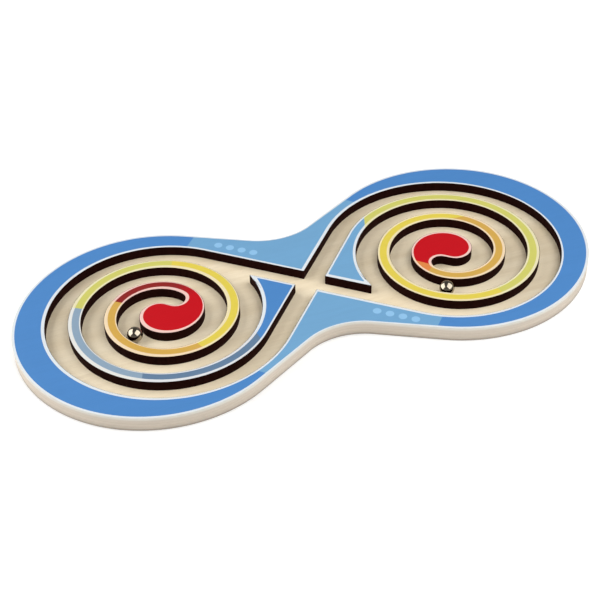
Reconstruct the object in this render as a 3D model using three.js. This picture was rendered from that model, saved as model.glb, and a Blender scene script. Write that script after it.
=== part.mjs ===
// Tilt maze game: a flat board of two round lobes joined by a waist. A spiral track is sunk into each
// lobe, the two tracks cross at the waist, and a steel ball rolls in each of them.
// Millimetres. +Z is up and z = 0 is the underside. +X runs along the board from the left lobe to the
// right lobe, and +Y points away from the player. The track looks the same after half a turn about its
// own centre, which lies a little nearer the player than the board's.
import * as THREE from 'three';

// ---- Sheets and outline ----
const BASE_THICKNESS = 3.5;
const TRACK_THICKNESS = 7;
const LOBE_CENTRE_X = 110;
const LOBE_RADIUS = 94;
const WAIST_RADIUS = 46.3;      // hollow curve on each side of the waist
const WAIST_CENTRE_Y = 98.8;

// ---- Where the two tracks cross, on the board ----
const TRACK_CENTRE = new THREE.Vector2(0.45, -1.1);

// ---- Opening in the rim, in lobe coordinates: two straight edges joined by two tangent arcs ----
const RIM_ARC_CENTRE = new THREE.Vector2(3.5, 2.6);
const RIM_ARC_RADIUS = 76;
const RIM_ARCS_MEET = 206;      // degrees, where the first arc passes into the second
const RIM_SECOND_RADIUS = 85.2;
const UPPER_EDGE_NORMAL = 48.8;
const LOWER_EDGE_NORMAL = 318.2;

// ---- Spiral wall, in lobe coordinates: an Archimedean spiral of constant width ----
const SPIRAL_CENTRE = new THREE.Vector2(6.84, 5.91);
const SPIRAL_PITCH = 23.8;      // growth of the radius in one turn
const SPIRAL_START = 0.4;       // middle radius at 0 degrees
const WALL_WIDTH = 8.7;
const DEAD_END_RADIUS = 6.8;    // round inner end of the groove
const DEAD_END_ANGLE = 398;     // where that end meets the inner edge
const SLANT_NORMAL = 318.7;     // straight outer edge of the wedge that ends the wall
const WEDGE_GAP = 7.4;          // middle of the crossing to the wedge's upper edge
const WEDGE_TIP_RADIUS = 0.8;
const WEDGE_POINT_RADIUS = 0.5;
const HEAD_BETWEEN = [60, 110];         // degrees; the round head leaves the spiral in this range
const POINT_BETWEEN = [1050, 1120];     // degrees; the wedge's upper edge meets the inner edge in this range

// ---- Balls: polar place about the spiral centre, in lobe coordinates ----
const BALL_RADIUS = 5.25;
const BALL_LIFT = 0.05;         // clearance over the floor
const LEFT_BALL = { radius: 26.7, angle: 209.2 };
const RIGHT_BALL = { radius: 40.9, angle: 61.1 };

// ---- Facets ----
const ARC_STEP = 5;
const LEAST_STEP = 0.1;         // share of a step; a shorter last step joins the one before it
const DEAD_END_STEP = 15;
const FILLET_STEP = 30;
const BALL_SEGMENTS = 24;
const BALL_RINGS = 16;

const OUTER = 1;
const INNER = -1;
const TURN = 360;
const BISECTIONS = 50;
const radians = THREE.MathUtils.degToRad;
const degrees = THREE.MathUtils.radToDeg;

function direction(angle) {
  return new THREE.Vector2(Math.cos(radians(angle)), Math.sin(radians(angle)));
}

// The two ends and every multiple of the step between them, upwards or downwards.
function anglesBetween(from, to, step = ARC_STEP) {
  const sign = Math.sign(to - from);
  const angles = [from];
  let next = sign > 0 ? (Math.floor(from / step) + 1) * step : (Math.ceil(from / step) - 1) * step;
  while (sign * (to - next) > LEAST_STEP * step) {
    angles.push(next);
    next += sign * step;
  }
  angles.push(to);
  return angles;
}

function arc(centre, radius, from, to, step = ARC_STEP) {
  return anglesBetween(from, to, step).map((angle) => direction(angle).multiplyScalar(radius).add(centre));
}

function bisect(f, [from, to]) {
  let low = from;
  let high = to;
  const signAtLow = Math.sign(f(low));
  for (let i = 0; i < BISECTIONS; i += 1) {
    const middle = (low + high) / 2;
    if (Math.sign(f(middle)) === signAtLow) low = middle;
    else high = middle;
  }
  return (low + high) / 2;
}

// A line is a normal and a distance along it: { normal, distance }.
function lineThrough(point, normalAngle) {
  const normal = direction(normalAngle);
  return { normal, distance: normal.dot(point) };
}

function crossLines(a, b) {
  const det = a.normal.cross(b.normal);
  const x = (a.distance * b.normal.y - b.distance * a.normal.y) / det;
  const y = (b.distance * a.normal.x - a.distance * b.normal.x) / det;
  return new THREE.Vector2(x, y);
}

// Rounds the corner of a path that runs before -> corner -> after.
function fillet(before, corner, after, radius) {
  const back = before.clone().sub(corner).normalize();
  const ahead = after.clone().sub(corner).normalize();
  const half = Math.acos(back.dot(ahead)) / 2;
  const reach = radius / Math.tan(half);
  const centre = back.clone().add(ahead).normalize().multiplyScalar(radius / Math.sin(half)).add(corner);
  const start = back.multiplyScalar(reach).add(corner).sub(centre);
  const end = ahead.multiplyScalar(reach).add(corner).sub(centre);
  const from = degrees(start.angle());
  let to = degrees(end.angle());
  if (to - from > TURN / 2) to -= TURN;
  if (from - to > TURN / 2) to += TURN;
  return arc(centre, radius, from, to, FILLET_STEP);
}

// ---- The spiral wall's edges ----
function wallRadius(angle, side) {
  return (SPIRAL_PITCH * angle) / TURN + SPIRAL_START + (side * WALL_WIDTH) / 2;
}

function wallPoint(angle, side) {
  return direction(angle).multiplyScalar(wallRadius(angle, side)).add(SPIRAL_CENTRE);
}

// How far an edge's outward normal lags behind the radius, in degrees.
function normalLag(angle, side) {
  return degrees(Math.atan2(SPIRAL_PITCH / (2 * Math.PI), wallRadius(angle, side)));
}

function wallNormal(angle, side) {
  return direction(angle - normalLag(angle, side));
}

function wallEdge(from, to, side) {
  return anglesBetween(from, to).map((angle) => wallPoint(angle, side));
}

// ---- Outlines ----
// Lobe coordinates have +x pointing at the crossing, which lies LOBE_CENTRE_X from their origin. Track
// coordinates have their origin at the crossing, and board coordinates at the board's centre.
function lobeToTrack(points) {
  return points.map((p) => new THREE.Vector2(p.x - LOBE_CENTRE_X, p.y));
}

function trackToBoard(points) {
  return points.map((p) => p.clone().add(TRACK_CENTRE));
}

function halfTurn(points) {
  return points.map((p) => new THREE.Vector2(-p.x, -p.y));
}

function boardOutline() {
  const toWaist = new THREE.Vector2(LOBE_CENTRE_X, WAIST_CENTRE_Y);
  const betweenNormals = degrees(Math.acos((LOBE_RADIUS + WAIST_RADIUS) / toWaist.length()));
  const tangent = degrees(toWaist.angle()) + betweenNormals;
  const leftLobe = arc(new THREE.Vector2(-LOBE_CENTRE_X, 0), LOBE_RADIUS, tangent, TURN - tangent);
  const lowerWaist = arc(new THREE.Vector2(0, -WAIST_CENTRE_Y), WAIST_RADIUS, 180 - tangent, tangent);
  const lowerHalf = [...leftLobe, ...lowerWaist];
  return [...lowerHalf, ...halfTurn(lowerHalf)];
}

// The left lobe's share of the opening, from the upper corner round to the lower one.
function rimOpeningHalf() {
  const secondCentre = direction(RIM_ARCS_MEET).multiplyScalar(RIM_ARC_RADIUS - RIM_SECOND_RADIUS);
  secondCentre.add(RIM_ARC_CENTRE);
  const firstArc = arc(RIM_ARC_CENTRE, RIM_ARC_RADIUS, UPPER_EDGE_NORMAL, RIM_ARCS_MEET);
  const secondArc = arc(secondCentre, RIM_SECOND_RADIUS, RIM_ARCS_MEET, LOWER_EDGE_NORMAL);
  const arcs = lobeToTrack([...firstArc, ...secondArc.slice(1)]);
  const upperEdge = lineThrough(arcs[0], UPPER_EDGE_NORMAL);
  const lowerEdge = lineThrough(arcs[arcs.length - 1], LOWER_EDGE_NORMAL);
  const farLowerEdge = { normal: lowerEdge.normal.clone().negate(), distance: lowerEdge.distance };
  return [crossLines(upperEdge, farLowerEdge), ...arcs];
}

function spiralOutline() {
  const deadEnd = wallNormal(DEAD_END_ANGLE, INNER).multiplyScalar(-DEAD_END_RADIUS);
  deadEnd.add(wallPoint(DEAD_END_ANGLE, INNER));
  // The head's outer edge leaves the spiral on the line that is tangent to the dead end.
  const missesDeadEnd = (angle) => {
    const toDeadEnd = deadEnd.clone().sub(wallPoint(angle, OUTER));
    return toDeadEnd.dot(wallNormal(angle, OUTER)) - DEAD_END_RADIUS;
  };
  const headAngle = bisect(missesDeadEnd, HEAD_BETWEEN);
  const headNormal = headAngle - normalLag(headAngle, OUTER);

  let slantAngle = SLANT_NORMAL + 2 * TURN;
  slantAngle += normalLag(slantAngle, OUTER);
  const slant = lineThrough(wallPoint(slantAngle, OUTER), SLANT_NORMAL);
  const crossing = new THREE.Vector2(LOBE_CENTRE_X, 0);
  const flat = lineThrough(crossing, UPPER_EDGE_NORMAL);
  flat.distance -= WEDGE_GAP;
  const tip = crossLines(slant, flat);
  const beyondFlat = (angle) => wallPoint(angle, INNER).dot(flat.normal) - flat.distance;
  const pointAngle = bisect(beyondFlat, POINT_BETWEEN);
  const point = wallPoint(pointAngle, INNER);

  const outerEdge = wallEdge(headAngle, slantAngle, OUTER);
  const innerEdge = wallEdge(pointAngle - ARC_STEP, DEAD_END_ANGLE, INNER);
  const tipArc = fillet(outerEdge[outerEdge.length - 1], tip, point, WEDGE_TIP_RADIUS);
  const pointArc = fillet(tip, point, innerEdge[0], WEDGE_POINT_RADIUS);
  const deadEndFrom = DEAD_END_ANGLE - TURN - normalLag(DEAD_END_ANGLE, INNER);
  const deadEndArc = arc(deadEnd, DEAD_END_RADIUS, deadEndFrom, headNormal - TURN / 2, DEAD_END_STEP);
  return [...outerEdge, ...tipArc, ...pointArc, ...innerEdge, ...deadEndArc.slice(1)];
}

// ---- Pieces ----
function sheet(outline, bottom, thickness, holes = []) {
  const shape = new THREE.Shape(outline);
  shape.holes = holes.map((hole) => new THREE.Path(hole));
  const geometry = new THREE.ExtrudeGeometry(shape, { depth: thickness, bevelEnabled: false });
  return geometry.translate(0, 0, bottom);
}

function piece(name, geometry, material) {
  const mesh = new THREE.Mesh(geometry, material);
  mesh.name = name;
  return mesh;
}

function wood(color) {
  return new THREE.MeshStandardMaterial({ color, roughness: 0.65, metalness: 0 });
}

function polishedSteel() {
  return new THREE.MeshStandardMaterial({ color: 0xb8b6b2, roughness: 0.12, metalness: 1 });
}

function leftPlace(place) {
  return lobeToTrack([direction(place.angle).multiplyScalar(place.radius).add(SPIRAL_CENTRE)]);
}

function ball(name, trackPlace) {
  const mesh = piece(name, new THREE.SphereGeometry(BALL_RADIUS, BALL_SEGMENTS, BALL_RINGS), polishedSteel());
  const [centre] = trackToBoard(trackPlace);
  mesh.rotation.x = Math.PI / 2;
  mesh.position.set(centre.x, centre.y, BASE_THICKNESS + BALL_RADIUS + BALL_LIFT);
  return mesh;
}

const board = boardOutline();
const openingHalf = rimOpeningHalf();
const opening = trackToBoard([...openingHalf, ...halfTurn(openingHalf)]);
const spiral = lobeToTrack(spiralOutline());
const leftSpiral = trackToBoard(spiral);
const rightSpiral = trackToBoard(halfTurn(spiral));

const group = new THREE.Group();
group.add(piece('base_board', sheet(board, 0, BASE_THICKNESS), wood(0xdcc9a8)));
group.add(piece('track_rim', sheet(board, BASE_THICKNESS, TRACK_THICKNESS, [opening]), wood(0x4a8ad0)));
group.add(piece('left_spiral', sheet(leftSpiral, BASE_THICKNESS, TRACK_THICKNESS), wood(0xd9a83f)));
group.add(piece('right_spiral', sheet(rightSpiral, BASE_THICKNESS, TRACK_THICKNESS), wood(0xe8cf4a)));
group.add(ball('left_ball', leftPlace(LEFT_BALL)));
group.add(ball('right_ball', halfTurn(leftPlace(RIGHT_BALL))));

export default group;
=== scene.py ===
import cmath
import math

import bmesh
import bpy
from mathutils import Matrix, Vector
from mathutils.geometry import delaunay_2d_cdt


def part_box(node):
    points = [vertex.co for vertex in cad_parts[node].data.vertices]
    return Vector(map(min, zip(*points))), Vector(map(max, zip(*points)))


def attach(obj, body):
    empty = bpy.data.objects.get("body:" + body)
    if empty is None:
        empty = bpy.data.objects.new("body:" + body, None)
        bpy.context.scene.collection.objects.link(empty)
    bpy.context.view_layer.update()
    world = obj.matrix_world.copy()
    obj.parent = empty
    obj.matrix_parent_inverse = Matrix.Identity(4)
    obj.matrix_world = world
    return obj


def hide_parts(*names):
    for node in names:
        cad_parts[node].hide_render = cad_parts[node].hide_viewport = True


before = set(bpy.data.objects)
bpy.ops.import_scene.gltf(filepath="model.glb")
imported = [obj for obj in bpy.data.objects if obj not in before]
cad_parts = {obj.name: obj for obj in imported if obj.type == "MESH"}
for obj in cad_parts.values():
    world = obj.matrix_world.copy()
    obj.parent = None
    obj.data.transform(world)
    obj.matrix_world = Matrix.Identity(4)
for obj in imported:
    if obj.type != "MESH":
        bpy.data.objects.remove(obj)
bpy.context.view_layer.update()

# The looks of a tilt maze game: a two-lobed board of printed plywood with a spiral groove in each lobe,
# and a steel ball in each groove. Plan shapes are worked out in millimetres, as complex numbers x + yi, and
# turn into metres when a mesh is made. Angles are in degrees. The board's outer sizes come from the frame.
MM = 0.001
BASE_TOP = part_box("base_board")[1].z / MM
TRACK_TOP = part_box("track_rim")[1].z / MM
BOARD_HALF_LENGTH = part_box("base_board")[1].x / MM
LOBE_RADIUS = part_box("base_board")[1].y / MM
LOBE_CENTRE_X = BOARD_HALF_LENGTH - LOBE_RADIUS
WAIST_RADIUS = 46.3
WAIST_CENTRE_Y = 98.8
TRACK_CENTRE = 0.45 - 1.1j      # the middle of the crossing, on the board

# Opening in the rim, in lobe coordinates. Their origin is the lobe's centre, and +x points at the crossing.
RIM_ARC_CENTRE = 3.5 + 2.6j
RIM_ARC_RADIUS = 76
RIM_ARCS_MEET = 206
RIM_SECOND_RADIUS = 85.2
UPPER_EDGE_NORMAL = 48.8        # of the straight edges, which the two arcs run into
LOWER_EDGE_NORMAL = 318.2

# Spiral wall, in lobe coordinates.
SPIRAL_CENTRE = 6.84 + 5.91j
SPIRAL_PITCH = 23.8
SPIRAL_START = 0.4
WALL_WIDTH = 8.7
DEAD_END_RADIUS = 6.8
DEAD_END_ANGLE = 398
SLANT_NORMAL = 318.7            # of the wedge's long outer edge
SLANT_TURNS = 2                 # whole turns of the wall before that edge
WEDGE_GAP = 7.4                 # from the crossing's middle to the wedge's straight edge
WEDGE_TIP_RADIUS = 0.8
WEDGE_POINT_RADIUS = 0.5
HEAD_BETWEEN = (60, 110)        # the outer edge starts between these angles, at the dead end
POINT_BETWEEN = (1050, 1120)    # the inner edge meets the straight edge between these
POINT_OVERLAP = 1               # how far the inner edge runs on past the wedge's point, for its rounding
OUTER, INNER = 1, -1

# Edges and facets.
ARC_STEP = 2.5
FILLET_STEP = 20
LEAST_STEP = 0.2                # share of a step; a shorter last step is left out
EDGE_ROUNDING = 0.3             # top edges, sanded
SEAM_ROUNDING = 0.12            # edges at the glue seam
UNDER_ROUNDING = 0.5            # edge of the underside
ROUNDING_STEPS = 3
SHARP_ANGLE = 40
LEAST_EDGE = 0.1
SAME_POINT = 1e-6
BISECTIONS = 50
BALL_CUTS = 31                  # along each edge of the cube that is blown up into a ball

# Print, as (colour, colour of the bare margin beside it) in sRGB, 0 to 255.
RED = ((190, 5, 21), (232, 194, 184))
DARK_RED = ((138, 33, 32), (230, 192, 182))
ORANGE = ((216, 130, 68), (234, 205, 178))
AMBER = ((204, 162, 76), (232, 209, 174))
YELLOW = ((218, 198, 78), (229, 215, 173))
YELLOW_GREEN = ((200, 197, 101), (224, 216, 176))
PALE_BLUE = ((136, 158, 178), (218, 218, 213))
RIBBON_BLUE = ((96, 122, 150), (216, 218, 220))
MID_BLUE = ((74, 130, 191), (216, 222, 226))
LIGHT_BLUE = ((110, 160, 199), (216, 222, 226))
DOT_BLUE = ((140, 188, 224), (216, 222, 226))
OUTER_MARGIN = 1.75             # round the lobes
WAIST_MARGIN = 1.2
OPENING_MARGIN = 2.0
WALL_MARGIN = 1.9
FLAT_MARGIN = 2.8               # beside the crossing
# The print doesn't quite line up with the cuts, and by a different way on each piece.
OPENING_PRINT_SHIFT = -0.47 + 0.16j
LEFT_PRINT_SHIFT = 0.91 + 0.46j
RIGHT_PRINT_SHIFT = -0.2 + 0.23j

HEAD_INK = RED
HEAD_START = -360               # an angle before any point of a spiral wall
# Inks along each spiral wall after its head: (angle at the inner edge, at the outer edge, ink beyond).
LEFT_INKS = [
    (380, 380, RED), (415, 415, DARK_RED), (499, 499, AMBER), (647, 647, YELLOW),
    (787, 787, YELLOW_GREEN), (874, 873, PALE_BLUE), (961, 962, RIBBON_BLUE), (1041, 1034, MID_BLUE),
]
RIGHT_INKS = [
    (388, 353, ORANGE), (391, 394, AMBER), (603, 588, YELLOW),
    (822, 822, YELLOW_GREEN), (1034, 1023, LIGHT_BLUE),
]
SOFT_INKS = (RED, DARK_RED)     # these two pass into each other
SOFT_STEPS = 7

# Where the rim's mid blue ends: (outer end, inner end) of the upper and the lower cut, in lobe coordinates.
RIM_CUTS = ((51.8 + 78.7j, 42.1 + 68.1j), (51.3 - 79j, 45 - 71.8j))
LIGHT_BLUE_FROM = 23.5          # no light blue nearer to the lobe's centre than this, along x
DOT_RADIUS = 2.9
DOT_STEP = 15
DOT_PITCH = 8.9
DOTS = 4
DOT_LINE = 16.7                 # from the crossing's middle along the normal of the rim's upper edge
LEFT_DOTS_START = 48.6          # from the crossing's middle along that edge
RIGHT_DOTS_START = 53.3

PLY_LAYERS = 9                  # in both sheets together, three of them in the base
PLY_LAYER = TRACK_TOP / PLY_LAYERS

# Studio, in metres. The sensor and the lens are in millimetres.
FLOOR_HALF = 10.0
FLOOR_DROP = 0.0002             # keeps the floor and the underside apart
FLOOR_GREY = (240, 240, 240)
FLOOR_GLOW = 0.2                # the table is lit from below
LAMP_DISTANCE = 1.3
CAMERA_PLACE = (-0.25118, -0.66712, 0.57687)
CAMERA_TURN = (50.640, 1.233, -21.115)
SENSOR_WIDTH = 36
LENS = 79.675


# ---- Plan geometry ----
def polar(radius, angle):
    return cmath.rect(radius, math.radians(angle))


def angle_of(p):
    return math.degrees(cmath.phase(p))


def dot(a, b):
    return (a * b.conjugate()).real


def cross(a, b):
    return (a.conjugate() * b).imag


def angles_between(start, end, step=ARC_STEP):
    """The two ends and every multiple of the step between them, upwards or downwards."""
    sign = 1 if end > start else -1
    count = math.floor(sign * start / step + LEAST_STEP) + 1
    inner = []
    while sign * end - count * step > LEAST_STEP * step:
        inner.append(sign * count * step)
        count += 1
    return [start, *inner, end]


def arc(centre, radius, start, end, step=ARC_STEP):
    return [centre + polar(radius, angle) for angle in angles_between(start, end, step)]


def bisect(f, low, high):
    sign_at_low = f(low) > 0
    for _ in range(BISECTIONS):
        middle = (low + high) / 2
        if (f(middle) > 0) == sign_at_low:
            low = middle
        else:
            high = middle
    return (low + high) / 2


def cross_lines(a, b):
    """Where two lines meet. A line is (normal, distance along it)."""
    det = cross(a[0], b[0])
    return complex(a[1] * b[0].imag - b[1] * a[0].imag, b[1] * a[0].real - a[1] * b[0].real) / det


def fillet(before, corner, after, radius):
    back = (before - corner) / abs(before - corner)
    ahead = (after - corner) / abs(after - corner)
    half = math.acos(dot(back, ahead)) / 2
    middle = (back + ahead) / abs(back + ahead)
    centre = corner + middle * radius / math.sin(half)
    start = angle_of(corner + back * radius / math.tan(half) - centre)
    sweep = (angle_of(corner + ahead * radius / math.tan(half) - centre) - start + 180) % 360 - 180
    return arc(centre, radius, start, start + sweep, FILLET_STEP)


def wall_radius(angle, side, inset=0.0):
    return SPIRAL_PITCH * angle / 360 + SPIRAL_START + side * (WALL_WIDTH / 2 - inset)


def wall_point(angle, side, inset=0.0):
    return SPIRAL_CENTRE + polar(wall_radius(angle, side, inset), angle)


def normal_lag(angle, side, inset=0.0):
    """How far a wall edge's outward normal lags behind the radius, in degrees."""
    return math.degrees(math.atan2(SPIRAL_PITCH / (2 * math.pi), wall_radius(angle, side, inset)))


def spiral_outline(inset=0.0, flat_inset=0.0):
    """Outline of a spiral wall in lobe coordinates, moved into the material by the inset, and by the flat
    inset at the straight edge beside the crossing."""
    turned = DEAD_END_ANGLE - normal_lag(DEAD_END_ANGLE, INNER)
    dead_end = wall_point(DEAD_END_ANGLE, INNER) - polar(DEAD_END_RADIUS, turned)
    hollow = DEAD_END_RADIUS + inset

    def misses_dead_end(angle):
        normal = polar(1, angle - normal_lag(angle, OUTER, inset))
        return dot(dead_end - wall_point(angle, OUTER, inset), normal) - hollow

    head = bisect(misses_dead_end, *HEAD_BETWEEN)
    slant_angle = SLANT_NORMAL + 360 * SLANT_TURNS
    slant_angle += normal_lag(slant_angle, OUTER)
    slant_normal = polar(1, SLANT_NORMAL)
    slant = (slant_normal, dot(slant_normal, wall_point(slant_angle, OUTER, inset)))
    flat_normal = polar(1, UPPER_EDGE_NORMAL)
    flat = (flat_normal, dot(flat_normal, LOBE_CENTRE_X) - WEDGE_GAP - flat_inset)

    def past_flat(angle):
        return dot(wall_point(angle, INNER, inset), flat_normal) - flat[1]

    point_angle = bisect(past_flat, *POINT_BETWEEN)
    inner_angles = angles_between(point_angle - POINT_OVERLAP, DEAD_END_ANGLE)
    outer_edge = [wall_point(angle, OUTER, inset) for angle in angles_between(head, slant_angle)]
    inner_edge = [wall_point(angle, INNER, inset) for angle in inner_angles]
    tip = cross_lines(slant, flat)
    point = wall_point(point_angle, INNER, inset)
    tip_arc = fillet(outer_edge[-1], tip, point, WEDGE_TIP_RADIUS)
    point_arc = fillet(tip, point, inner_edge[0], WEDGE_POINT_RADIUS)
    leaves = head - normal_lag(head, OUTER, inset) - 180
    dead_end_arc = arc(dead_end, hollow, turned - 360, leaves, FILLET_STEP / 2)
    return [*outer_edge, *tip_arc, *point_arc, *inner_edge, *dead_end_arc[1:]]


def on_left(points):
    """Lobe coordinates to the board, for the left lobe's track."""
    return [p - LOBE_CENTRE_X + TRACK_CENTRE for p in points]


def off_left(points):
    """Back from the board to lobe coordinates."""
    return [p - TRACK_CENTRE + LOBE_CENTRE_X for p in points]


def on_right(points):
    """The same for the right lobe. It is half a turn, so it is also the way back."""
    return [LOBE_CENTRE_X - p + TRACK_CENTRE for p in points]


def board_outline(inset=0.0, waist_inset=0.0):
    """Outline of the board, moved inwards by one inset round the lobes and by another at the waist."""
    to_waist = complex(LOBE_CENTRE_X, WAIST_CENTRE_Y)
    lobe_radius, waist_radius = LOBE_RADIUS - inset, WAIST_RADIUS + waist_inset
    tangent = angle_of(to_waist) + math.degrees(math.acos((lobe_radius + waist_radius) / abs(to_waist)))
    left_lobe = arc(-LOBE_CENTRE_X, lobe_radius, tangent, 360 - tangent)
    lower_waist = arc(-1j * WAIST_CENTRE_Y, waist_radius, 180 - tangent, tangent)
    half = [*left_lobe, *lower_waist[1:-1]]
    return [*half, *[-p for p in half]]


def rim_opening(inset=0.0):
    """Outline of the opening on the board, moved into the rim by the inset."""
    second_centre = RIM_ARC_CENTRE + polar(RIM_ARC_RADIUS - RIM_SECOND_RADIUS, RIM_ARCS_MEET)
    first_arc = arc(RIM_ARC_CENTRE, RIM_ARC_RADIUS + inset, UPPER_EDGE_NORMAL, RIM_ARCS_MEET)
    second_arc = arc(second_centre, RIM_SECOND_RADIUS + inset, RIM_ARCS_MEET, LOWER_EDGE_NORMAL)
    arcs = [p - LOBE_CENTRE_X for p in [*first_arc, *second_arc[1:]]]
    upper, lower = polar(1, UPPER_EDGE_NORMAL), polar(1, LOWER_EDGE_NORMAL)
    corner = cross_lines((upper, dot(arcs[0], upper)), (-lower, dot(arcs[-1], lower)))
    half = [corner, *arcs]
    return [p + TRACK_CENTRE for p in [*half, *[-p for p in half]]]


def with_points(loop, extra):
    """The loop with the point of it that is nearest to each extra point among its points."""
    points = list(loop)
    for p in extra:
        found = []
        for i, (a, b) in enumerate(zip(points, [*points[1:], points[0]])):
            along = min(1, max(0, dot(p - a, b - a) / abs(b - a) ** 2))
            found.append((abs(a + (b - a) * along - p), i, a + (b - a) * along))
        _, i, nearest = min(found, key=lambda entry: entry[:2])
        if min(abs(nearest - points[i]), abs(nearest - points[(i + 1) % len(points)])) > LEAST_EDGE:
            points.insert(i + 1, nearest)
    return points


def moved_in(loop, distance):
    """The loop moved into the material, which lies to the left of it."""
    moved = []
    for before, p, after in zip([loop[-1], *loop[:-1]], loop, [*loop[1:], loop[0]]):
        arriving = 1j * (p - before) / abs(p - before)
        leaving = 1j * (after - p) / abs(after - p)
        moved.append(p + (arriving + leaving) * distance / (1 + dot(arriving, leaving)))
    return moved


# ---- Meshes ----
def linear(colour):
    """sRGB, 0 to 255, to Blender's linear values, with alpha."""
    parts = [c / 255 for c in colour]
    return (*[c / 12.92 if c <= 0.04045 else ((c + 0.055) / 1.055) ** 2.4 for c in parts], 1.0)


def edge_profile(bottom, top, bottom_rounding, top_rounding):
    """(inset, height) steps up a cut edge, round at the bottom and the top."""
    lower, upper = [], []
    for i in range(ROUNDING_STEPS + 1):
        angle = math.pi / 2 * i / ROUNDING_STEPS
        falling, rising = 1 - math.sin(angle), 1 - math.cos(angle)
        lower.append((bottom_rounding * falling, bottom + bottom_rounding * rising))
        upper.append((top_rounding * rising, top - top_rounding * falling))
    return [*lower, *upper]


def cut_edge(bm, loop, profile, material):
    """The wall round a loop. Returns its lowest and highest ring of vertices."""
    rings = []
    for inset, height in profile:
        inner = moved_in(loop, inset)
        rings.append([bm.verts.new((p.real * MM, p.imag * MM, height * MM)) for p in inner])
    for low, high in zip(rings, rings[1:]):
        for i in range(len(loop)):
            face = bm.faces.new((low[i - 1], low[i], high[i], high[i - 1]))
            face.material_index = material
            face.smooth = True
    return rings[0], rings[-1]


def plan(vert):
    return complex(vert.co.x, vert.co.y) / MM


def counterclockwise(ids, points):
    area = sum(cross(points[a], points[b]) for a, b in zip(ids, [*ids[1:], ids[0]]))
    return ids if area > 0 else ids[::-1]


def cap(bm, rings, material, facing_up, prints=(), cuts=(), paint=None):
    """Fills the first ring, less the others, with the outlines of the prints and the cuts as mesh edges.
    paint(centre, inside) gives a face's colour. Inside holds the numbers of the outlines round the face,
    counted through the rings and then the prints."""
    verts = [v for ring in rings for v in ring]
    points = [plan(v) for v in verts]
    outlines, start = [], 0
    for ring in rings:
        outlines.append(list(range(start, start + len(ring))))
        start += len(ring)
    for loop in prints:
        outlines.append(list(range(start, start + len(loop))))
        points += loop
        start += len(loop)
    edges = []
    for ends in cuts:
        edges.append([min(range(len(verts)), key=lambda i: abs(points[i] - end)) for end in ends])
    outlines = [counterclockwise(ids, points) for ids in outlines]
    flat = [Vector((p.real, p.imag)) for p in points]
    places, _, faces, origins, _, inside_of = delaunay_2d_cdt(flat, edges, outlines, 0, SAME_POINT)
    height = verts[0].co.z
    made = []
    for place, ids in zip(places, origins):
        known = [i for i in ids if i < len(verts)]
        made.append(verts[known[0]] if known else bm.verts.new((place.x * MM, place.y * MM, height)))
    ink = bm.loops.layers.float_color.get("ink")
    holes = set(range(1, len(rings)))
    for ids, inside in zip(faces, inside_of):
        if 0 not in inside or holes & set(inside):
            continue
        corners = [made[i] for i in ids]
        face = bm.faces.new(corners if facing_up else corners[::-1])
        face.material_index = material
        face.smooth = True
        if paint:
            colour = linear(paint(sum(plan(v) for v in corners) / len(corners), inside))
            for loop in face.loops:
                loop[ink] = colour


def finish_piece(name, bm, materials, node_name, body):
    """Turns a bmesh into a piece that rides on its body and stands for its node."""
    bmesh.ops.recalc_face_normals(bm, faces=bm.faces)
    loose = [v for v in bm.verts if not v.link_faces]
    bmesh.ops.delete(bm, geom=loose, context="VERTS")
    mesh = bpy.data.meshes.new(name)
    bm.to_mesh(mesh)
    bm.free()
    for material in materials:
        mesh.materials.append(material)
    mesh.set_sharp_from_angle(angle=math.radians(SHARP_ANGLE))
    piece = bpy.data.objects.new(name, mesh)
    bpy.context.scene.collection.objects.link(piece)
    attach(piece, body)
    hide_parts(node_name)


# ---- Materials ----
def node(tree, kind, inputs=None, **settings):
    """A shader node with its settings, and its inputs given as values or as sockets to link from."""
    made = tree.nodes.new("ShaderNode" + kind)
    for key, value in settings.items():
        setattr(made, key, value)
    for key, value in (inputs or {}).items():
        if isinstance(value, bpy.types.NodeSocket):
            tree.links.new(value, made.inputs[key])
        else:
            made.inputs[key].default_value = value
    return made


def new_material(name):
    material = bpy.data.materials.new(name)
    material.use_nodes = True
    tree = material.node_tree
    return material, tree, tree.nodes["Principled BSDF"]


def ramp(tree, factor, stops):
    """A ramp through (position, grey) stops."""
    made = node(tree, "ValToRGB", {"Fac": factor})
    elements = made.color_ramp.elements
    while len(elements) < len(stops):
        elements.new(1.0)
    for element, (position, grey) in zip(elements, stops):
        element.position = position
        element.color = (grey, grey, grey, 1.0)
    return made.outputs["Color"]


def mixed(tree, factor, a, b, blend_type="MIX"):
    """A colour mix. The node has a socket of each name for each data type, so they are picked by type."""
    made = node(tree, "Mix", data_type="RGBA", blend_type=blend_type)
    for key, kind, value in (("Factor", "VALUE", factor), ("A", "RGBA", a), ("B", "RGBA", b)):
        socket = next(s for s in made.inputs if (s.name, s.type) == (key, kind))
        if isinstance(value, bpy.types.NodeSocket):
            tree.links.new(value, socket)
        else:
            socket.default_value = value
    return next(s for s in made.outputs if s.type == "RGBA")


def shaded(tree, share, colour, noise, stops):
    """The colour with that share of the noise's shades multiplied in."""
    return mixed(tree, share, colour, ramp(tree, noise, stops), "MULTIPLY")


def stretched_noise(tree, scale, roughness=0.6, detail=4.0, distortion=0.0):
    """Noise in metres, with its own scale along each axis, in bumps per metre."""
    place = node(tree, "TexCoord").outputs["Object"]
    stretched = node(tree, "Mapping", {"Vector": place, "Scale": scale})
    inputs = {
        "Vector": stretched.outputs["Vector"], "Scale": 1.0, "Detail": detail, "Roughness": roughness,
        "Distortion": distortion,
    }
    return node(tree, "TexNoise", inputs).outputs["Fac"]


def bump(tree, height, depth):
    """Relief of that depth, in metres."""
    return node(tree, "Bump", {"Height": height, "Distance": depth}).outputs["Normal"]


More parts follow.
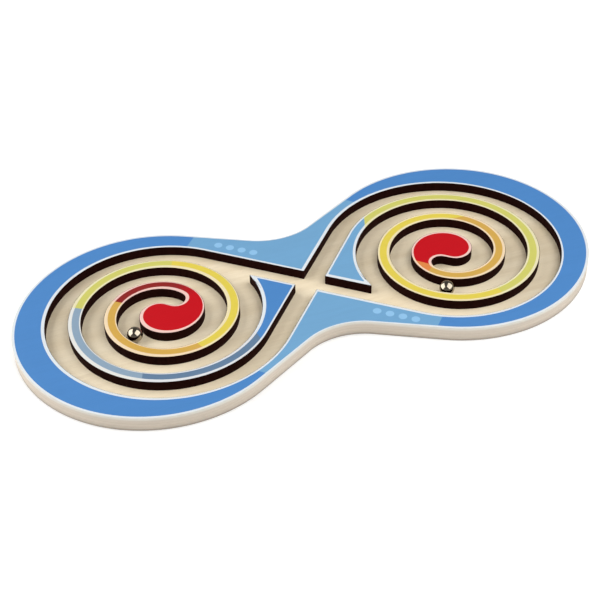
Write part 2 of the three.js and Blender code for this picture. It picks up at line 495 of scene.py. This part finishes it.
def link_surface(tree, shader, colour, roughness, normal):
    for name, socket in (("Base Color", colour), ("Roughness", roughness), ("Normal", normal)):
        tree.links.new(socket, shader.inputs[name])


def maths(tree, operation, *values):
    return node(tree, "Math", dict(enumerate(values)), operation=operation).outputs["Value"]


def birch_face(name, light, dark):
    """Clear-lacquered birch veneer with its grain along X."""
    material, tree, shader = new_material(name)
    figure = stretched_noise(tree, (9, 95, 95), roughness=0.55, distortion=0.6)
    fibres = stretched_noise(tree, (70, 1500, 1500), roughness=0.7)
    pores = stretched_noise(tree, (260, 2600, 2600), roughness=0.4, detail=2.0)
    colour = mixed(tree, ramp(tree, figure, [(0.35, 0.0), (0.7, 1.0)]), linear(light), linear(dark))
    colour = shaded(tree, 0.5, colour, fibres, [(0.3, 0.86), (0.7, 1.0)])
    colour = shaded(tree, 0.5, colour, pores, [(0.27, 0.72), (0.36, 1.0)])
    roughness = ramp(tree, fibres, [(0.3, 0.52), (0.7, 0.42)])
    link_surface(tree, shader, colour, roughness, bump(tree, fibres, 0.00006))
    return material


def printed_face(name):
    """Satin ink on birch: the colour comes from the mesh, with a trace of the grain below it."""
    material, tree, shader = new_material(name)
    ink = node(tree, "VertexColor", layer_name="ink").outputs["Color"]
    figure = stretched_noise(tree, (14, 120, 120), roughness=0.6, distortion=0.4)
    fibres = stretched_noise(tree, (70, 1300, 1300), roughness=0.7)
    colour = shaded(tree, 0.55, ink, figure, [(0.3, 0.93), (0.7, 1.0)])
    colour = shaded(tree, 0.5, colour, fibres, [(0.3, 0.93), (0.7, 1.0)])
    roughness = ramp(tree, fibres, [(0.3, 0.42), (0.7, 0.34)])
    link_surface(tree, shader, colour, roughness, bump(tree, fibres, 0.00003))
    shader.inputs["Specular IOR Level"].default_value = 0.3
    return material


def layers_up(tree):
    """Height over the underside in plywood layers."""
    height = node(tree, "SeparateXYZ", {"Vector": node(tree, "TexCoord").outputs["Object"]}).outputs["Z"]
    return maths(tree, "MULTIPLY", height, 1 / (PLY_LAYER * MM))


def glue_lines(tree, layers, width):
    """1 at the lines between layers, falling to 0 at that share of a layer from them."""
    to_line = maths(tree, "PINGPONG", maths(tree, "FRACT", layers), 0.5)
    return ramp(tree, to_line, [(0.0, 1.0), (width, 0.0)])


def ply_edge(name, light, dark, line, top):
    """Sanded plywood edge: layers, thin glue lines, a paler top and painted shade that darkens the lower
    edge where it meets the floor.
    """
    material, tree, shader = new_material(name)
    layers = layers_up(tree)
    every_other = maths(tree, "PINGPONG", layers, 1.0)
    fibres = stretched_noise(tree, (420, 420, 2600), roughness=0.7)
    blotches = stretched_noise(tree, (25, 25, 500), roughness=0.5)
    banding = ramp(tree, every_other, [(0.35, 0.0), (0.65, 1.0)])
    colour = mixed(tree, banding, linear(light), linear(dark))
    colour = shaded(tree, 0.6, colour, fibres, [(0.3, 0.84), (0.7, 1.0)])
    colour = shaded(tree, 0.6, colour, blotches, [(0.3, 0.88), (0.7, 1.0)])
    colour = mixed(tree, glue_lines(tree, layers, 0.12), colour, linear(line))
    up_board = maths(tree, "MULTIPLY", layers, 1 / PLY_LAYERS)
    # Painted shade: the edge's colour darkens towards the underside, standing in for the contact shade
    # along the floor.
    painted_contact_shade = [(0.0, 0.38), (0.07, 0.58), (0.17, 0.83), (0.33, 1.0)]
    colour = shaded(tree, 1.0, colour, up_board, painted_contact_shade)
    colour = mixed(tree, ramp(tree, up_board, [(0.72, 0.0), (0.95, 0.7)]), colour, linear(top))
    roughness = ramp(tree, fibres, [(0.3, 0.7), (0.7, 0.55)])
    link_surface(tree, shader, colour, roughness, bump(tree, fibres, 0.00008))
    return material


def burnt_edge(name, char, line):
    """Plywood edge charred by the cutting, with the layers just showing."""
    material, tree, shader = new_material(name)
    layers = layers_up(tree)
    streaks = stretched_noise(tree, (500, 500, 60), roughness=0.6)
    colour = mixed(tree, glue_lines(tree, layers, 0.2), linear(char), linear(line))
    colour = shaded(tree, 0.7, colour, streaks, [(0.3, 0.45), (0.7, 1.0)])
    shader.inputs["Specular IOR Level"].default_value = 0.05
    roughness = ramp(tree, streaks, [(0.3, 0.85), (0.7, 0.7)])
    link_surface(tree, shader, colour, roughness, bump(tree, streaks, 0.0001))
    return material


def polished_steel(name, light, dark):
    """Bearing steel with the faint marks of rolling."""
    material, tree, shader = new_material(name)
    smears = stretched_noise(tree, (500, 500, 500), roughness=0.7, distortion=1.0)
    scratches = stretched_noise(tree, (9000, 300, 2500), roughness=0.8)
    shader.inputs["Metallic"].default_value = 1.0
    colour = mixed(tree, ramp(tree, smears, [(0.35, 0.0), (0.7, 1.0)]), linear(light), linear(dark))
    roughness = ramp(tree, smears, [(0.35, 0.06), (0.7, 0.13)])
    link_surface(tree, shader, colour, roughness, bump(tree, scratches, 0.000002))
    return material


BIRCH = birch_face("birch_face", light=(247, 231, 201), dark=(236, 217, 183))
PRINT = printed_face("printed_face")
PLY_EDGE = ply_edge(
    "ply_edge", light=(208, 196, 180), dark=(203, 190, 173), line=(189, 175, 156), top=(212, 213, 208)
)
BURNT = burnt_edge("burnt_edge", char=(29, 4, 2), line=(50, 17, 13))
STEEL = polished_steel("polished_steel", light=(178, 168, 150), dark=(160, 150, 132))


# ---- Print ----
def soft_steps(start, end, first, last):
    """Inks that pass from the first to the last between two wall angles."""
    inks = []
    for i in range(1, SOFT_STEPS):
        share = i / SOFT_STEPS
        colours = [tuple(a + (b - a) * share for a, b in zip(*pair)) for pair in zip(first, last)]
        angle = start + (end - start) * share
        inks.append((angle, angle, tuple(colours)))
    return inks


def all_inks(inks):
    """The list with the head's ink in front and the soft transition filled in."""
    full = [(HEAD_START, HEAD_START, HEAD_INK)]
    for entry, after in zip(inks, [*inks[1:], None]):
        full.append(entry)
        if after and (entry[2], after[2]) == SOFT_INKS:
            full += soft_steps(entry[0], after[0], *SOFT_INKS)
    return full


def ink_at(p, inks):
    """The ink at a point of a spiral wall, in lobe coordinates."""
    arm = p - SPIRAL_CENTRE
    turn = angle_of(arm) % 360
    turns = round((abs(arm) - wall_radius(turn, 0)) / SPIRAL_PITCH)
    angle = turn + 360 * turns
    outward = (abs(arm) - wall_radius(angle, 0)) / WALL_WIDTH + 0.5
    found = inks[0][2]
    for inner, outer, ink in inks:
        if angle >= inner + (outer - inner) * outward:
            found = ink
    return found


def make_base():
    bm = bmesh.new()
    materials = [BIRCH, PLY_EDGE]
    profile = edge_profile(0, BASE_TOP, UNDER_ROUNDING, SEAM_ROUNDING)
    low, high = cut_edge(bm, board_outline(), profile, materials.index(PLY_EDGE))
    cap(bm, [low], materials.index(BIRCH), False)
    cap(bm, [high], materials.index(BIRCH), True)
    finish_piece("base_board_ply", bm, materials, "base_board", "board")


def dots(side, start):
    """Outlines of a row of printed dots on the board: side is 1 for the upper row and -1 for the lower."""
    across, along = polar(1, UPPER_EDGE_NORMAL), polar(1, UPPER_EDGE_NORMAL + 90)
    centres = [DOT_LINE * across + (start + i * DOT_PITCH) * along for i in range(DOTS)]
    return [arc(side * p + TRACK_CENTRE, DOT_RADIUS, 0, 360 - DOT_STEP, DOT_STEP) for p in centres]


def in_waist(p):
    """Whether a point of the rim is beyond its lobe's cuts, where the ink is light blue."""
    local = p - TRACK_CENTRE
    if local.real > 0:
        local = -local
    local += LOBE_CENTRE_X
    if local.real < LIGHT_BLUE_FROM:
        return False
    outer, inner = RIM_CUTS[0] if local.imag > 0 else RIM_CUTS[1]
    return cross(outer - inner, local - inner) * local.imag < 0


def make_rim():
    bm = bmesh.new()
    bm.loops.layers.float_color.new("ink")
    materials = [PRINT, PLY_EDGE, BURNT, BIRCH]
    cuts = [tuple(place(cut)) for cut in RIM_CUTS for place in (on_left, on_right)]
    outline = with_points(board_outline(), [outer for outer, _ in cuts])
    opening = with_points(rim_opening(), [inner for _, inner in cuts])[::-1]
    profile = edge_profile(BASE_TOP, TRACK_TOP, SEAM_ROUNDING, EDGE_ROUNDING)
    low_outer, high_outer = cut_edge(bm, outline, profile, materials.index(PLY_EDGE))
    low_inner, high_inner = cut_edge(bm, opening, profile, materials.index(BURNT))
    cap(bm, [low_outer, low_inner], materials.index(BIRCH), False)
    opening_print = [p + OPENING_PRINT_SHIFT for p in rim_opening(OPENING_MARGIN)]
    dot_rows = dots(1, LEFT_DOTS_START) + dots(-1, RIGHT_DOTS_START)
    prints = [board_outline(OUTER_MARGIN, WAIST_MARGIN), opening_print, *dot_rows]

    def paint(centre, inside):
        """The outlines are 0 the rim, 1 its opening, 2 and 3 the print inside each, and from 4 the dots."""
        ink = LIGHT_BLUE if in_waist(centre) else MID_BLUE
        if max(inside) > 3:
            ink = DOT_BLUE
        printed = 2 in inside and 3 not in inside
        return ink[0 if printed else 1]

    cap(bm, [high_outer, high_inner], materials.index(PRINT), True, prints, cuts, paint)
    finish_piece("track_rim_ply", bm, materials, "track_rim", "board")


def make_spiral(side, place, unplace, inks, print_shift):
    bm = bmesh.new()
    bm.loops.layers.float_color.new("ink")
    materials = [PRINT, BURNT, BIRCH]
    inks = all_inks(inks)
    cuts = []
    for inner, outer, _ in inks[1:]:
        cuts.append(tuple(place([wall_point(inner, INNER), wall_point(outer, OUTER)])))
    outline = with_points(place(spiral_outline()), [p for cut in cuts for p in cut])
    profile = edge_profile(BASE_TOP, TRACK_TOP, SEAM_ROUNDING, EDGE_ROUNDING)
    low, high = cut_edge(bm, outline, profile, materials.index(BURNT))
    cap(bm, [low], materials.index(BIRCH), False)

    def paint(centre, inside):
        """The outlines are 0 the wall and 1 its print."""
        ink = ink_at(unplace([centre])[0], inks)
        return ink[0 if 1 in inside else 1]

    wall_print = [p + print_shift for p in place(spiral_outline(WALL_MARGIN, FLAT_MARGIN))]
    cap(bm, [high], materials.index(PRINT), True, [wall_print], cuts, paint)
    node_name = side + "_spiral"
    finish_piece(node_name + "_ply", bm, materials, node_name, "board")


def make_ball(side):
    """A cube blown up into a ball, with its grid spread evenly over the ball."""
    low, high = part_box(side + "_ball")
    radius, centre = (high.x - low.x) / 2, (low + high) / 2
    bm = bmesh.new()
    bmesh.ops.create_cube(bm, size=2.0)
    bmesh.ops.subdivide_edges(bm, edges=bm.edges, cuts=BALL_CUTS, use_grid_fill=True)
    for v in bm.verts:
        warped = Vector([math.tan(c * math.pi / 4) for c in v.co])
        v.co = warped.normalized() * radius + centre
    for face in bm.faces:
        face.smooth = True
    finish_piece(side + "_ball_steel", bm, [STEEL], side + "_ball", side + "_ball")


make_base()
make_rim()
make_spiral("left", on_left, off_left, LEFT_INKS, LEFT_PRINT_SHIFT)
make_spiral("right", on_right, on_right, RIGHT_INKS, RIGHT_PRINT_SHIFT)
make_ball("left")
make_ball("right")


# ---- Studio ----
def studio_floor():
    mesh = bpy.data.meshes.new("studio_floor")
    corners = [(x * FLOOR_HALF, y * FLOOR_HALF, 0) for x, y in ((-1, -1), (1, -1), (1, 1), (-1, 1))]
    mesh.from_pydata(corners, [], [(0, 1, 2, 3)])
    material, _, shader = new_material("studio_floor")
    shader.inputs["Base Color"].default_value = linear(FLOOR_GREY)
    shader.inputs["Roughness"].default_value = 0.9
    shader.inputs["Specular IOR Level"].default_value = 0.0
    shader.inputs["Emission Color"].default_value = (1, 1, 1, 1)
    shader.inputs["Emission Strength"].default_value = FLOOR_GLOW
    mesh.materials.append(material)
    floor = bpy.data.objects.new("studio_floor", mesh)
    floor.location.z = -FLOOR_DROP
    bpy.context.scene.collection.objects.link(floor)


def softbox(name, azimuth, elevation, width, height, watts):
    """A lamp aimed at the board. Azimuth 0 is towards the player, 90 to the player's right."""
    a, e = math.radians(azimuth), math.radians(elevation)
    back = Vector((math.sin(a) * math.cos(e), -math.cos(a) * math.cos(e), math.sin(e)))
    light = bpy.data.lights.new(name, "AREA")
    light.shape = "RECTANGLE"
    light.size = width
    light.size_y = height
    light.energy = watts
    lamp = bpy.data.objects.new(name, light)
    lamp.location = back * LAMP_DISTANCE
    lamp.rotation_mode = "QUATERNION"
    lamp.rotation_quaternion = (-back).to_track_quat("-Z", "Y")
    bpy.context.scene.collection.objects.link(lamp)


def studio_air():
    """A dim room, a little paler near the floor."""
    world = bpy.data.worlds.new("studio")
    world.use_nodes = True
    tree = world.node_tree
    place = node(tree, "TexCoord").outputs["Generated"]
    height = node(tree, "SeparateXYZ", {"Vector": place}).outputs["Z"]
    shade = ramp(tree, height, [(0.0, 0.3), (0.3, 0.22), (0.6, 0.12)])
    tree.links.new(shade, tree.nodes["Background"].inputs["Color"])
    bpy.context.scene.world = world


def camera():
    data = bpy.data.cameras.new("camera")
    data.sensor_width = SENSOR_WIDTH
    data.lens = LENS
    view = bpy.data.objects.new("camera", data)
    view.location = CAMERA_PLACE
    view.rotation_euler = [math.radians(a) for a in CAMERA_TURN]
    bpy.context.scene.collection.objects.link(view)
    bpy.context.scene.camera = view


studio_floor()
softbox("left_softbox", azimuth=-115, elevation=30, width=2.0, height=1.4, watts=23)
softbox("right_softbox", azimuth=50, elevation=47, width=2.0, height=1.6, watts=23)
studio_air()
camera()
bpy.context.scene.view_settings.view_transform = "Standard"
